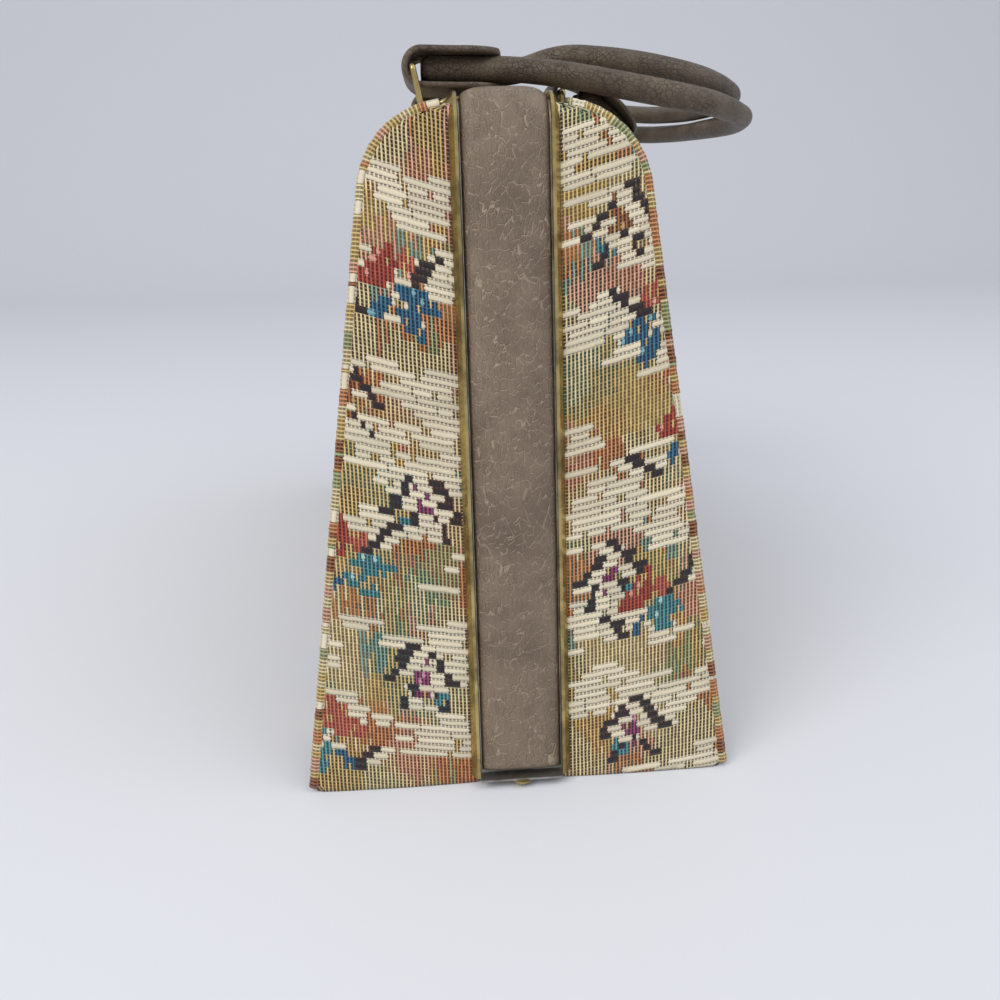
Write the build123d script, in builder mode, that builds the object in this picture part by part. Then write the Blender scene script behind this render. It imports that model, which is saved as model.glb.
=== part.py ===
from build123d import *
import math
import os

# A frame handbag that opens like a clam: a front and a back shell, hinged along the bottom,
# with a leather-covered metal frame between them and two double-strand handles.
# Origin: on the surface the bag stands on, under its middle. X runs along the length,
# front is -Y, back is +Y, Z is up. "right" pieces are at +X, "left" pieces at -X.

# Shells
base_length = 331.0
end_lean = 10.0
base_depth = 147.0
wall_lean = 8.1
shell_height = 223.4
top_fall = 8.0
shoulder_radius = 28.0
base_edge_radius = 3.0
wall = 3.0
lining_thickness = 0.8
piping_diameter = 3.3

# Frame between the shells
channel_width = 28.8
channel_sheet = 0.8
channel_rise = 1.3
frame_depth = 4.8
frame_corner_radius = 7.5
rail_rise = 4.0
rail_face_width = 2.9
rail_sheet = 0.8
rail_flange = 5.6
rail_lift = 0.3
band_width = 26.0
band_shift = 0.1
band_crown = 4.0
band_edge = 1.9
band_edge_radius = 1.4
channel_end_height = 3.0
end_plate_overhang = 6.0
end_plate_length = 20.0
rail_end_height = 3.1
band_end_height = 4.6
foot_diameter = 8.0

# Hinge along the bottom
knuckle_radius = 2.3
hinge_height = 2.6
hinge_pin_radius = 1.0
hinge_inset = 17.0
knuckle_count = 5
leaf_sheet = 0.8
tie_sheet = 3.0

# Clasp
clasp_ball_radius = 4.1
clasp_arm_radius = 1.5
clasp_rise = 13.6
clasp_foot_length = 16.0

# Handles
strand_diameter = 8.0
tab_width = 33.0
tab_length = 30.0
tab_sheet = 1.8
tab_tip_radius = 13.0
bar_setback = 3.0
tube_setback = 7.0
wire_diameter = 2.0
bail_corner_radius = 1.6
bail_side_gap = 0.5
handle_plate_sheet = 1.0
handle_plate_width = 16.0
front_tab_offset = 87.5
back_tab_offset = 80.0
front_bar_depth = 28.0
front_bar_rise = 12.8
front_bail_foot = 24.6
front_dip = 1.0
back_bar_depth = 22.5
back_bar_rise = 5.5
back_bail_foot = 22.2
hang_angle = 11.0
hang_drop = 91.0
hang_corner_radius = 52.0
strand_shift = 6.5
loop_step = 9.0

# Clearances
body_gap = 0.3
pin_clearance = 0.04
tab_clearance = 0.2
seat_gap = 0.4
plate_gap = 0.05

# Worked out from the sizes above
half_length = base_length / 2
half_depth = base_depth / 2
end_slope = math.tan(math.radians(end_lean))
wall_slope = math.tan(math.radians(wall_lean))
fall_slope = math.tan(math.radians(top_fall))
channel_half = channel_width / 2
ridge_height = shell_height + channel_half * fall_slope
corner_depth = (half_depth - wall_slope * ridge_height) / (1 - wall_slope * fall_slope)
corner_height = ridge_height - fall_slope * corner_depth
shell_edge = channel_half + rail_sheet + tab_clearance
lining_edge = channel_half + rail_flange + tab_clearance
strand_radius = strand_diameter / 2
wire_radius = wire_diameter / 2
hinge_depth = channel_half + body_gap + 0.2
end_plate_reach = half_length - end_slope * channel_end_height + end_plate_overhang
clasp_height = shell_height + clasp_rise
front_bar_height = shell_height + front_bar_rise
back_bar_height = shell_height + back_bar_rise
inside_wall = wall + lining_thickness
overall = 2 * base_length

os.makedirs("parts", exist_ok=True)


def save(part, name):
    """Give a finished piece its name and write it out"""
    part.label = name
    export_step(part, f"parts/{name}.step")


def to_side(part, side):
    """A piece made for the back (+Y), or its mirror image for the front"""
    return part if side > 0 else mirror(part, about=Plane.XZ)


def to_end(part, end):
    """A piece made for the right end (+X), or its mirror image for the left"""
    return part if end > 0 else mirror(part, about=Plane.YZ)


def end_reach(height):
    """How far an end wall's outer face is from the middle at a height"""
    return half_length - height * end_slope


def end_prism(inset):
    """The space between the two leaning end walls, inset along their normal"""
    step = inset / math.cos(math.radians(end_lean))
    with BuildPart() as prism:
        with BuildSketch(Plane.XZ):
            with BuildLine():
                Polyline(
                    (end_reach(-base_depth) - step, -base_depth),
                    (end_reach(overall / 2) - step, overall / 2),
                    (-end_reach(overall / 2) + step, overall / 2),
                    (-end_reach(-base_depth) + step, -base_depth),
                    close=True,
                )
            make_face()
        extrude(amount=overall, both=True)
    return prism.part


def half_block(inset):
    """The solid inside one shell's outer faces, left open past the middle, inset all round"""
    wall_line = half_depth - inset / math.cos(math.radians(wall_lean))
    top_line = ridge_height - inset / math.cos(math.radians(top_fall))
    depth = (wall_line - wall_slope * top_line) / (1 - wall_slope * fall_slope)
    with BuildPart() as block:
        with BuildSketch(Plane.YZ.offset(-base_length)):
            with BuildLine():
                Polyline(
                    (-overall, inset),
                    (wall_line - wall_slope * inset, inset),
                    (depth, top_line - fall_slope * depth),
                    (0, top_line),
                    (-overall, top_line),
                    close=True,
                )
            make_face()
            fillet(vertices().sort_by(Axis.X)[-2], shoulder_radius - inset)
            if inset < base_edge_radius:
                fillet(vertices().sort_by(Axis.X)[-1], base_edge_radius - inset)
        extrude(amount=2 * base_length)
        add(end_prism(inset), mode=Mode.INTERSECT)
    return block.part


def slab(low, high):
    """A plain block between two corners, for cutting"""
    with BuildPart() as block:
        with Locations(tuple((a + b) / 2 for a, b in zip(low, high))):
            Box(*[b - a for a, b in zip(low, high)])
    return block.part


def frame_path(inset=0.0):
    """The line up one end, over the top and down the other end, at the shells' outer faces"""
    with BuildLine(Plane.XZ) as path:
        FilletPolyline(
            (end_reach(-base_depth / 4), -base_depth / 4),
            (end_reach(shell_height), shell_height),
            (-end_reach(shell_height), shell_height),
            (-end_reach(-base_depth / 4), -base_depth / 4),
            radius=frame_corner_radius,
        )
    return path.wire()


def frame_sweep(points, end_height, crown=None):
    """Sweep a section along the frame: (across, outwards) points, closed by an arc if crowned"""
    path = frame_path()
    start = Plane(origin=path @ 0, x_dir=(0, 1, 0), z_dir=path % 0)
    outwards = 1 if start.y_dir.X > 0 else -1
    corners = [(across, outwards * out) for across, out in points]
    with BuildPart() as strip:
        with BuildSketch(start):
            with BuildLine():
                Polyline(*corners, close=crown is None)
                if crown:
                    ThreePointArc(corners[-1], (crown[0], outwards * crown[1]), corners[0])
            make_face()
            if crown:
                ends = vertices().filter_by(lambda v: abs(v.Y) > channel_rise + band_edge / 2)
                fillet(ends, band_edge_radius)
        sweep(path=path)
        add(slab((-overall, -overall, -overall), (overall, overall, end_height)), mode=Mode.SUBTRACT)
    return strip.part


# Bails: wire staples through the shells' tops that the handles' tabs fold round

shoulder_line_depth = half_depth - shoulder_radius / math.cos(math.radians(wall_lean))
shoulder_line_height = ridge_height - shoulder_radius / math.cos(math.radians(top_fall))
shoulder_y = (shoulder_line_depth - wall_slope * shoulder_line_height) / (1 - wall_slope * fall_slope)
shoulder_z = shoulder_line_height - fall_slope * shoulder_y


def top_height(depth):
    """Height of a shell's outer top face, or of its round shoulder, at a depth"""
    if depth <= shoulder_y + shoulder_radius * math.sin(math.radians(top_fall)):
        return ridge_height - fall_slope * depth
    return shoulder_z + math.sqrt(shoulder_radius**2 - (depth - shoulder_y) ** 2)


def bail(offset, foot_depth, bar_depth, bar_height, room=0.0):
    """One bail on the right of the back shell, its feet on the plate in the wall, or its hole"""
    reach = tab_width / 2 + bail_side_gap + wire_radius
    foot_height = top_height(foot_depth) - wall + handle_plate_sheet + seat_gap - 5 * room
    with BuildPart() as wire:
        with BuildLine() as line:
            FilletPolyline(
                (offset - reach, foot_depth, foot_height),
                (offset - reach, bar_depth, bar_height),
                (offset + reach, bar_depth, bar_height),
                (offset + reach, foot_depth, foot_height),
                radius=bail_corner_radius,
            )
        with BuildSketch(Plane(origin=line.wire() @ 0, z_dir=line.wire() % 0)):
            Circle(wire_radius + room)
        sweep(path=line.wire())
    return wire.part


bail_sizes = {
    "back": (back_tab_offset, back_bail_foot, back_bar_depth, back_bar_height),
    "front": (front_tab_offset, front_bail_foot, front_bar_depth, front_bar_height),
}
bails = {name: bail(*sizes) for name, sizes in bail_sizes.items()}
bail_holes = {name: bail(*sizes, room=pin_clearance) for name, sizes in bail_sizes.items()}

# The shells' walls, linings and welts, the same for both halves

outer_block = half_block(0)
board_block = half_block(wall)
lined_block = half_block(inside_wall)
ends_core = end_prism(wall)
plate_top = half_block(wall - handle_plate_sheet)

corner_cut = end_prism(0)
with BuildPart() as rounded_ends:
    with BuildSketch(Plane.XZ):
        with BuildLine():
            Polyline(
                (end_reach(-base_depth), -base_depth),
                (end_reach(shell_height), shell_height),
                (-end_reach(shell_height), shell_height),
                (-end_reach(-base_depth), -base_depth),
                close=True,
            )
        make_face()
        fillet(vertices().sort_by(Axis.Y)[-2:], frame_corner_radius)
    extrude(amount=overall, both=True)


def welt_line(end):
    """The seam between the end wall and the wrapped wall, from the ridge over the shoulder"""
    points = [
        (0, ridge_height),
        (corner_depth, corner_height),
        (half_depth - wall_slope * piping_diameter / 2, piping_diameter / 2),
    ]
    with BuildLine() as seam:
        FilletPolyline(
            *[(end * end_reach(height), depth, height) for depth, height in points],
            radius=shoulder_radius,
        )
    return seam.wire()


welts = {}
for end in (1, -1):
    seam = welt_line(end)
    with BuildPart() as welt:
        with BuildSketch(Plane(origin=seam @ 0, z_dir=seam % 0)):
            Circle(piping_diameter / 2)
        sweep(path=seam)
        add(slab((-overall, -overall, 0), (overall, lining_edge - body_gap, overall)), mode=Mode.SUBTRACT)
    welts[end] = welt.part

plate_spots = {1: back_tab_offset, -1: front_tab_offset}
shell_pieces = {}
for side, name in ((1, "back"), (-1, "front")):
    edge = shell_edge if side > 0 else shell_edge + body_gap
    plate_low = lining_edge + (0 if side > 0 else body_gap)
    spot = plate_spots[side]
    before_edge = slab((-overall, -overall, -overall), (overall, edge, overall))

    zone = slab(
        (spot - tab_width / 2 - 5, plate_low, shell_height / 2),
        (spot + tab_width / 2 + 5, plate_low + handle_plate_width, overall),
    )
    pocket = plate_top & zone
    right_plate = (half_block(wall - handle_plate_sheet + plate_gap) - half_block(wall - plate_gap)) & zone
    with BuildPart() as plates:
        for end in (1, -1):
            add(to_end(right_plate, end))
    with BuildPart() as shell:
        add(outer_block)
        add(board_block, mode=Mode.SUBTRACT)
        add(before_edge, mode=Mode.SUBTRACT)
        under_rail = slab((-overall, -overall, 0), (overall, lining_edge - body_gap, overall))
        add((corner_cut - rounded_ends.part) & under_rail, mode=Mode.SUBTRACT)
        for end in (1, -1):
            add(to_end(pocket, end), mode=Mode.SUBTRACT)
            add(welts[end], mode=Mode.SUBTRACT)
            add(to_end(bail_holes[name], end), mode=Mode.SUBTRACT)
    with BuildPart() as gussets:
        add(shell.part)
        add(ends_core, mode=Mode.SUBTRACT)
    with BuildPart() as wrap:
        add(shell.part)
        add(ends_core, mode=Mode.INTERSECT)
    floor_zone = slab((-overall, -overall, -overall), (overall, overall, wall))
    with BuildPart() as panel:
        add(wrap.part)
        add(floor_zone, mode=Mode.SUBTRACT)
    with BuildPart() as bottom:
        add(wrap.part)
        add(floor_zone, mode=Mode.INTERSECT)
        clear = hinge_depth + knuckle_radius + 2 * body_gap
        if side < 0:
            add(slab((-overall, -overall, -overall), (overall, clear, overall)), mode=Mode.SUBTRACT)
    with BuildPart() as lining:
        add(board_block)
        add(lined_block, mode=Mode.SUBTRACT)
        add(slab((-overall, -overall, -overall), (overall, plate_low, overall)), mode=Mode.SUBTRACT)
    shell_pieces[name] = dict(panel=panel.part, bottom=bottom.part, lining=lining.part, handle_plates=plates.part)
    for end, word in ((1, "right"), (-1, "left")):
        half = slab((0, -overall, -overall), (overall, overall, overall))
        shell_pieces[name][f"gusset_{word}"] = gussets.part & to_end(half, end)
        shell_pieces[name][f"piping_{word}"] = welts[end]

for name, pieces in shell_pieces.items():
    side = 1 if name == "back" else -1
    for word, piece in pieces.items():
        save(to_side(piece, side), f"{name}_{word}")
    right_bail = to_side(bails[name], side)
    save(right_bail, f"{name}_bail_right")
    save(to_end(right_bail, -1), f"{name}_bail_left")

# The frame: a channel all round, the leather band on it and a brass rail along each shell

channel_inner = channel_half - channel_sheet
channel_points = [
    (-channel_half, channel_rise),
    (channel_half, channel_rise),
    (channel_half, -frame_depth),
    (channel_inner, -frame_depth),
    (channel_inner, channel_rise - channel_sheet),
    (-channel_inner, channel_rise - channel_sheet),
    (-channel_inner, -frame_depth),
    (-channel_half, -frame_depth),
]
end_plate = slab(
    (end_plate_reach - end_plate_length, -channel_half, channel_end_height),
    (end_plate_reach, channel_half, channel_end_height + channel_sheet),
)
with BuildPart() as frame_channel:
    add(frame_sweep(channel_points, channel_end_height))
    add(end_plate)
    add(to_end(end_plate, -1))
save(frame_channel.part, "frame_channel")

band_low, band_high = band_shift - band_width / 2, band_shift + band_width / 2
band_points = [
    (band_low, channel_rise + band_edge),
    (band_low, channel_rise),
    (band_high, channel_rise),
    (band_high, channel_rise + band_edge),
]
leather_band = frame_sweep(band_points, band_end_height, crown=(band_shift, channel_rise + band_crown))
save(leather_band, "leather_band")

rail_tip = channel_half + rail_sheet + body_gap
rail_outer = rail_tip + rail_face_width
rail_web = channel_half + rail_sheet
flange_top = rail_sheet - frame_depth
rail_points = [
    (channel_half, rail_rise),
    (rail_tip, rail_rise),
    (rail_outer, rail_lift),
    (rail_outer - 1.25 * rail_sheet, rail_lift),
    (rail_web, rail_rise - 1.25 * rail_sheet),
    (rail_web, flange_top),
    (channel_half + rail_flange, flange_top),
    (channel_half + rail_flange, -frame_depth),
    (channel_half, -frame_depth),
]
rails = {
    "back_rail": frame_sweep(rail_points, rail_end_height),
    "front_rail": frame_sweep([(-y - body_gap, out) for y, out in rail_points], rail_end_height),
}
for name, rail in rails.items():
    save(rail, name)

# Feet under the band's ends, and the tie between them along the bottom

foot_radius = foot_diameter / 2
foot_place = end_plate_reach - foot_radius + 1
dome_height = channel_end_height - 0.8
dome_radius = (foot_radius**2 + dome_height**2) / (2 * dome_height)
with BuildPart() as frame_feet:
    for end in (1, -1):
        with BuildSketch(Plane.XZ.offset(0).move(Location((end * foot_place, 0, 0)))) as half_foot:
            with BuildLine():
                Polyline(
                    (0, 0),
                    (0, channel_end_height),
                    (foot_radius, channel_end_height),
                    (foot_radius, dome_height),
                )
                RadiusArc((foot_radius, dome_height), (0, 0), dome_radius)
            make_face()
        revolve(axis=Axis((end * foot_place, 0, 0), (0, 0, 1)))
save(frame_feet.part, "frame_feet")

tie_edge = hinge_depth - knuckle_radius - body_gap
tie_half_length = foot_place - foot_radius - body_gap - 1
with BuildPart() as base_tie:
    add(slab(
        (-tie_half_length, -tie_edge, channel_end_height - tie_sheet),
        (tie_half_length, shell_edge - 0.1, channel_end_height),
    ))
save(base_tie.part, "base_tie")

# The bottom hinge: two leaves with rolled knuckles on one long pin

hinge_length = base_length - 2 * hinge_inset
knuckle_length = hinge_length / knuckle_count
hinge_line = Plane(origin=(0, -hinge_depth, hinge_height), x_dir=(0, 1, 0), z_dir=(1, 0, 0))
leaf_low, leaf_high = channel_end_height, channel_end_height + leaf_sheet


def knuckle_span(index):
    """The two ends of a knuckle along X, with half a body gap taken off each"""
    low = -hinge_length / 2 + index * knuckle_length
    return low + body_gap / 2, low + knuckle_length - body_gap / 2


def hinge_leaf(first, near, away):
    """A plate from its near edge to its far edge, with every second knuckle rolled onto it"""
    with BuildPart() as leaf:
        add(slab(
            (-hinge_length / 2, min(near, away), leaf_low),
            (hinge_length / 2, max(near, away), leaf_high),
        ))
        for index in range(first, knuckle_count, 2):
            low, high = knuckle_span(index)
            add(slab((low, min(-hinge_depth, near), leaf_low), (high, max(-hinge_depth, near), leaf_high)))
            with BuildSketch(hinge_line.offset(low)):
                Circle(knuckle_radius)
            extrude(amount=high - low)
        with BuildSketch(hinge_line.offset(-hinge_length)):
            Circle(hinge_pin_radius + pin_clearance)
        extrude(amount=2 * hinge_length, mode=Mode.SUBTRACT)
    return leaf.part


back_hinge_leaf = hinge_leaf(0, -tie_edge, channel_half + rail_flange - 0.4)
save(back_hinge_leaf, "back_hinge_leaf")
front_leaf_edge = -hinge_depth - knuckle_radius - 2 * body_gap
front_hinge_leaf = hinge_leaf(1, front_leaf_edge, -lining_edge)
save(front_hinge_leaf, "front_hinge_leaf")
with BuildPart() as hinge_pin:
    with BuildSketch(hinge_line.offset(-hinge_length / 2 - 1)):
        Circle(hinge_pin_radius)
    extrude(amount=hinge_length + 2)
save(hinge_pin.part, "hinge_pin")

# Clasp: two ball posts that snap past each other above the band

clasp_arm_depth = rail_tip + 2.1
clasp_side = clasp_ball_radius + body_gap
face_run = math.hypot(rail_face_width, rail_rise - rail_lift)
face_y, face_z = rail_face_width / face_run, (rail_lift - rail_rise) / face_run
clasp_sheet = 1.3
with BuildPart() as clasp_post:
    with BuildSketch(Plane.YZ.offset(clasp_side - clasp_foot_length / 2)):
        with BuildLine():
            corner = Vector(rail_tip, shell_height + rail_rise)
            along = Vector(face_y, face_z) * (face_run - 0.5)
            out = Vector(-face_z, face_y) * clasp_sheet
            Polyline(corner, corner + along, corner + along + out, corner + out, close=True)
        make_face()
    extrude(amount=clasp_foot_length)
    with BuildLine() as arm:
        FilletPolyline(
            (clasp_side, clasp_arm_depth, shell_height + rail_rise - 0.3),
            (clasp_side, clasp_arm_depth, clasp_height - 4),
            (clasp_side, -1, clasp_height),
            radius=3,
        )
    with BuildSketch(Plane(origin=arm.wire() @ 0, z_dir=arm.wire() % 0)):
        Circle(clasp_arm_radius)
    sweep(path=arm.wire())
    with Locations((clasp_side, -1, clasp_height)):
        Sphere(clasp_ball_radius)
save(clasp_post.part, "back_clasp_post")
front_clasp = Rotation(0, 0, 180) * clasp_post.part
save(Location((0, -body_gap, 0)) * front_clasp, "front_clasp_post")

# Handles: tabs folded round the bails, with the ends of two leather-covered tubes in each

leaf_middle = strand_radius + tab_clearance + tab_sheet / 2


def soft_radii(points):
    """A bend radius for each inner point, as large as its two runs allow"""
    spots = [Vector(*point) for point in points]
    radii = []
    for before, here, after in zip(spots, spots[1:], spots[2:]):
        turn = math.radians((here - before).get_angle(after - here))
        run = min((here - before).length, (after - here).length)
        radii.append(0.45 * run / math.tan(turn / 2))
    return radii


def tube(path):
    """A round strand along a wire"""
    with BuildPart() as strand:
        with BuildSketch(Plane(origin=path @ 0, z_dir=path % 0)):
            Circle(strand_radius)
        sweep(path=path)
    return strand.part


def round_tips(leaf, middle, tip, outwards):
    """Round the ends of both leaves of a tab: a cut through them along the outward direction"""
    with BuildPart() as rounded:
        add(leaf)
        with BuildSketch(Plane(origin=(middle, *tip), x_dir=(1, 0, 0), z_dir=(0, *outwards))):
            Rectangle(2 * tab_width, 2 * tab_tip_radius)
            with BuildSketch(mode=Mode.PRIVATE) as kept:
                with Locations((0, -tab_width)):
                    Rectangle(tab_width, 2 * tab_width)
                fillet(kept.vertices().sort_by(Axis.Y)[-2:], tab_tip_radius)
            add(kept.sketch, mode=Mode.SUBTRACT)
        extrude(amount=tab_width, both=True, mode=Mode.SUBTRACT)
    return rounded.part


with BuildPart() as front_tab:
    fold_start = (front_tab_offset - tab_width / 2, -front_bar_depth, front_bar_height)
    fold_line = (0, math.cos(math.radians(front_dip)), -math.sin(math.radians(front_dip)))
    with BuildSketch(Plane(origin=fold_start, x_dir=fold_line, z_dir=(1, 0, 0))):
        with BuildLine() as fold:
            Line((tab_length + 1, leaf_middle), (bar_setback, leaf_middle))
            ThreePointArc(
                (bar_setback, leaf_middle), (bar_setback - leaf_middle, 0), (bar_setback, -leaf_middle)
            )
            Line((bar_setback, -leaf_middle), (tab_length + 1, -leaf_middle))
        trace(line_width=tab_sheet)
    extrude(amount=tab_width)
front_tip = (tab_length - front_bar_depth, front_bar_height)
front_tab_right = round_tips(front_tab.part, front_tab_offset, front_tip, (0, 1))

strand_line = math.hypot(back_bar_depth - shoulder_y, back_bar_height - shoulder_z)
bar_angle = math.degrees(math.atan2(back_bar_height - shoulder_z, back_bar_depth - shoulder_y))


def on_arc(radius, run):
    """A point at a radius about the shoulder's centre, at a run along the strands from the bar"""
    angle = math.radians(bar_angle) - run / strand_line
    return shoulder_y + radius * math.cos(angle), shoulder_z + radius * math.sin(angle)


def arc_between(radius, first, last):
    return ThreePointArc(
        on_arc(radius, first), on_arc(radius, (first + last) / 2), on_arc(radius, last)
    )


with BuildPart() as back_tab:
    with BuildSketch(Plane.YZ.offset(back_tab_offset - tab_width / 2)):
        with BuildLine():
            outer_leaf, inner_leaf = strand_line + leaf_middle, strand_line - leaf_middle
            arc_between(outer_leaf, tab_length + 4, bar_setback)
            arc_between(inner_leaf, bar_setback, tab_length + 4)
            ThreePointArc(
                on_arc(outer_leaf, bar_setback),
                on_arc(strand_line, bar_setback - leaf_middle),
                on_arc(inner_leaf, bar_setback),
            )
        trace(line_width=tab_sheet)
    extrude(amount=tab_width)
tip = on_arc(strand_line, tab_length)
outwards = [(a - b) / strand_line for a, b in zip(on_arc(strand_line, tab_length - 4), (shoulder_y, shoulder_z))]
back_tab_right = round_tips(back_tab.part, back_tab_offset, tip, outwards)

tabs = {"front": front_tab_right, "back": back_tab_right}
for name, tab in tabs.items():
    save(tab, f"{name}_tab_right")
    save(to_end(tab, -1), f"{name}_tab_left")

# Each loop's half: how far outside its tab's middle, behind the bar and above it each bend is
front_routes = {
    "outer": [
        (8.0, 7.0, -0.12),
        (8.9, 34.0, -0.6),
        (16.5, 51.0, -3.2),
        (21.0, 75.0, -8.0),
        (14.5, 101.0, -11.8),
        (-8.5, 121.0, -14.7),
        (-45.5, 130.5, -15.6),
    ],
    "inner": [
        (-8.0, 7.0, -0.12),
        (-7.5, 35.0, -0.62),
        (-4.0, 52.0, 4.8),
        (2.5, 76.0, 1.8),
        (-0.5, 100.0, -2.4),
        (-21.5, 120.0, -5.8),
        (-54.5, 129.5, -7.0),
    ],
}
for word, route in front_routes.items():
    half = [
        (front_tab_offset + x, y - front_bar_depth, front_bar_height + z) for x, y, z in route
    ]
    points = half + [(-x, y, z) for x, y, z in reversed(half)]
    with BuildLine() as line:
        FilletPolyline(*points, radius=soft_radii(points))
    save(tube(line.wire()), f"front_strand_{word}")

hang_run = strand_line * math.radians(bar_angle - hang_angle)
hang_start = on_arc(strand_line, hang_run)
hang_plane = Plane(
    origin=(0, *hang_start),
    x_dir=(1, 0, 0),
    z_dir=(0, math.cos(math.radians(hang_angle)), math.sin(math.radians(hang_angle))),
)
loops = {
    "outer": (strand_shift, hang_drop, hang_corner_radius),
    "inner": (-strand_shift, hang_drop - loop_step, hang_corner_radius - 2 * strand_shift),
}
for word, (shift, drop, corner) in loops.items():
    x = back_tab_offset + shift
    with BuildLine(hang_plane) as loop:
        FilletPolyline((x, 0), (x, drop), (-x, drop), (-x, 0), radius=corner)
    legs = []
    for end in (1, -1):
        with BuildLine(Plane.YZ.offset(end * x)) as leg:
            arc_between(strand_line, tube_setback, hang_run)
        legs += leg.edges()
    path = Wire([legs[0], *loop.edges(), legs[1]])
    save(tube(path), f"back_strand_{word}")
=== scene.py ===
import math
import random

import bmesh
import bpy
import numpy as np
from mathutils import Matrix, Vector


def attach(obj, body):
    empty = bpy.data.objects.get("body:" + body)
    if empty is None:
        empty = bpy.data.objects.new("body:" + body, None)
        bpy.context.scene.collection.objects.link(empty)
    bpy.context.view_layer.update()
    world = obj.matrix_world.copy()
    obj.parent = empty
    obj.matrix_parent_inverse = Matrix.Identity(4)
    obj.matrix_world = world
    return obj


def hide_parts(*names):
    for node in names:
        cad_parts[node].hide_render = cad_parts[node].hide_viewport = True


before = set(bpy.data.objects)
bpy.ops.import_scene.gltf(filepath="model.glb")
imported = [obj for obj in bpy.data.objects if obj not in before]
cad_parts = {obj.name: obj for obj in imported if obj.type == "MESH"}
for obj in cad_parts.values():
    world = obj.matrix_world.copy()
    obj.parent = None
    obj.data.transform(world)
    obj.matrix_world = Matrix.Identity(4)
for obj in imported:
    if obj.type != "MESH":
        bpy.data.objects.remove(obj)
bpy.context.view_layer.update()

# Sizes in millimetres, the same as in the part's source
HALF_LENGTH = 165.5
HALF_DEPTH = 73.5
END_LEAN = math.radians(10.0)
WALL_LEAN = math.radians(8.1)
TOP_FALL = math.radians(8.0)
END_SLOPE = math.tan(END_LEAN)
WALL_SLOPE = math.tan(WALL_LEAN)
FALL_SLOPE = math.tan(TOP_FALL)
SHELL_HEIGHT = 223.4
RIDGE_HEIGHT = SHELL_HEIGHT + 14.4 * FALL_SLOPE
SHOULDER_RADIUS = 28.0
BASE_RADIUS = 3.0
FRAME_CORNER = 7.5
FRONT_SHIFT = 0.3
PIPING_RADIUS = 1.65
STRAND_RADIUS = 4.0
TAB_WIDTH = 33.0
TAB_LENGTH = 30.0
TAB_SHEET = 1.8
TIP_RADIUS = 13.0
LEAF_MIDDLE = 5.1
FRONT_BAR = (-28.0, 236.2)
BACK_BAR = (22.5, 228.9)
FRONT_TAB = 87.5
BACK_TAB = 80.0

# Sizes in millimetres that only the scene has
SEAM_DEPTH = 15.2
GUSSET_WIDTH = 62
WRAP_REACH = 168
BOTTOM_REACH = 161
BOTTOM_DEPTH = 72.0
LINING_INSET = 3.25
LINING_ROOT = 20.9
BAND_FOOT = 4.7
TUBE_START = 2.6
TUBE_STEP = 1.5
BAND_HALF_WIDTH = 14.1
BAND_STEP = 1.6
PIPING_SWELL = 0.3

# The cloth's weave
WARP_PITCH = 1.3
WEFT_PITCH = 2.4


def srgb(r, g, b):
    """A colour as it looks on a screen, 0 to 255, as the shader takes it"""
    def channel(c):
        c = c / 255
        return c / 12.92 if c <= 0.04045 else ((c + 0.055) / 1.055) ** 2.4
    return (channel(r), channel(g), channel(b))


# Shader building

class Nodes:
    """A node tree with short calls to add and join nodes"""

    def __init__(self, tree):
        self.tree = tree

    def add(self, kind, **settings):
        node = self.tree.nodes.new(kind)
        for key, value in settings.items():
            setattr(node, key, value)
        return node

    def join(self, source, target):
        self.tree.links.new(source, target)

    def put(self, socket, value):
        if hasattr(value, "is_output"):
            self.join(value, socket)
        elif value is not None:
            socket.default_value = value

    def fill(self, sockets, **values):
        """Join or set sockets by name, with a _ for each space"""
        for label, value in values.items():
            self.put(sockets[label.replace("_", " ")], value)

    def math(self, operation, a, b=None, c=None):
        node = self.add("ShaderNodeMath", operation=operation)
        for socket, value in zip(node.inputs, (a, b, c)):
            self.put(socket, value)
        return node.outputs[0]

    def vector_math(self, operation, a, b, c=None):
        node = self.add("ShaderNodeVectorMath", operation=operation)
        for socket, value in zip(node.inputs, (a, b, c)):
            self.put(socket, value)
        return node.outputs[0]

    def scale(self, vector, factor):
        node = self.add("ShaderNodeVectorMath", operation="SCALE")
        self.put(node.inputs[0], vector)
        self.put(node.inputs["Scale"], factor)
        return node.outputs[0]

    def mix(self, factor, a, b, blend="MIX"):
        node = self.add("ShaderNodeMix", data_type="RGBA", blend_type=blend)
        self.put(node.inputs["Factor"], factor)
        colours = [s for s in node.inputs if s.type == "RGBA"]
        self.put(colours[0], a if hasattr(a, "is_output") else (*a[:3], 1.0))
        self.put(colours[1], b if hasattr(b, "is_output") else (*b[:3], 1.0))
        return [s for s in node.outputs if s.type == "RGBA"][0]

    def ramp(self, value, low, high, to_low=0.0, to_high=1.0):
        node = self.add("ShaderNodeMapRange", interpolation_type="SMOOTHSTEP")
        self.fill(node.inputs, Value=value, From_Min=low, From_Max=high, To_Min=to_low, To_Max=to_high)
        return node.outputs[0]

    def noise(self, vector, scale, detail=2.0, rough=0.5, colour=False):
        node = self.add("ShaderNodeTexNoise")
        self.fill(node.inputs, Vector=vector, Scale=scale, Detail=detail, Roughness=rough)
        return node.outputs["Color" if colour else "Fac"]

    def place(self):
        """The point on the object, in millimetres"""
        return self.scale(self.add("ShaderNodeTexCoord").outputs["Object"], 1000.0)

    def stretch(self, vector, scale):
        node = self.add("ShaderNodeMapping")
        self.fill(node.inputs, Vector=vector, Scale=scale)
        return node.outputs["Vector"]


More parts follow.
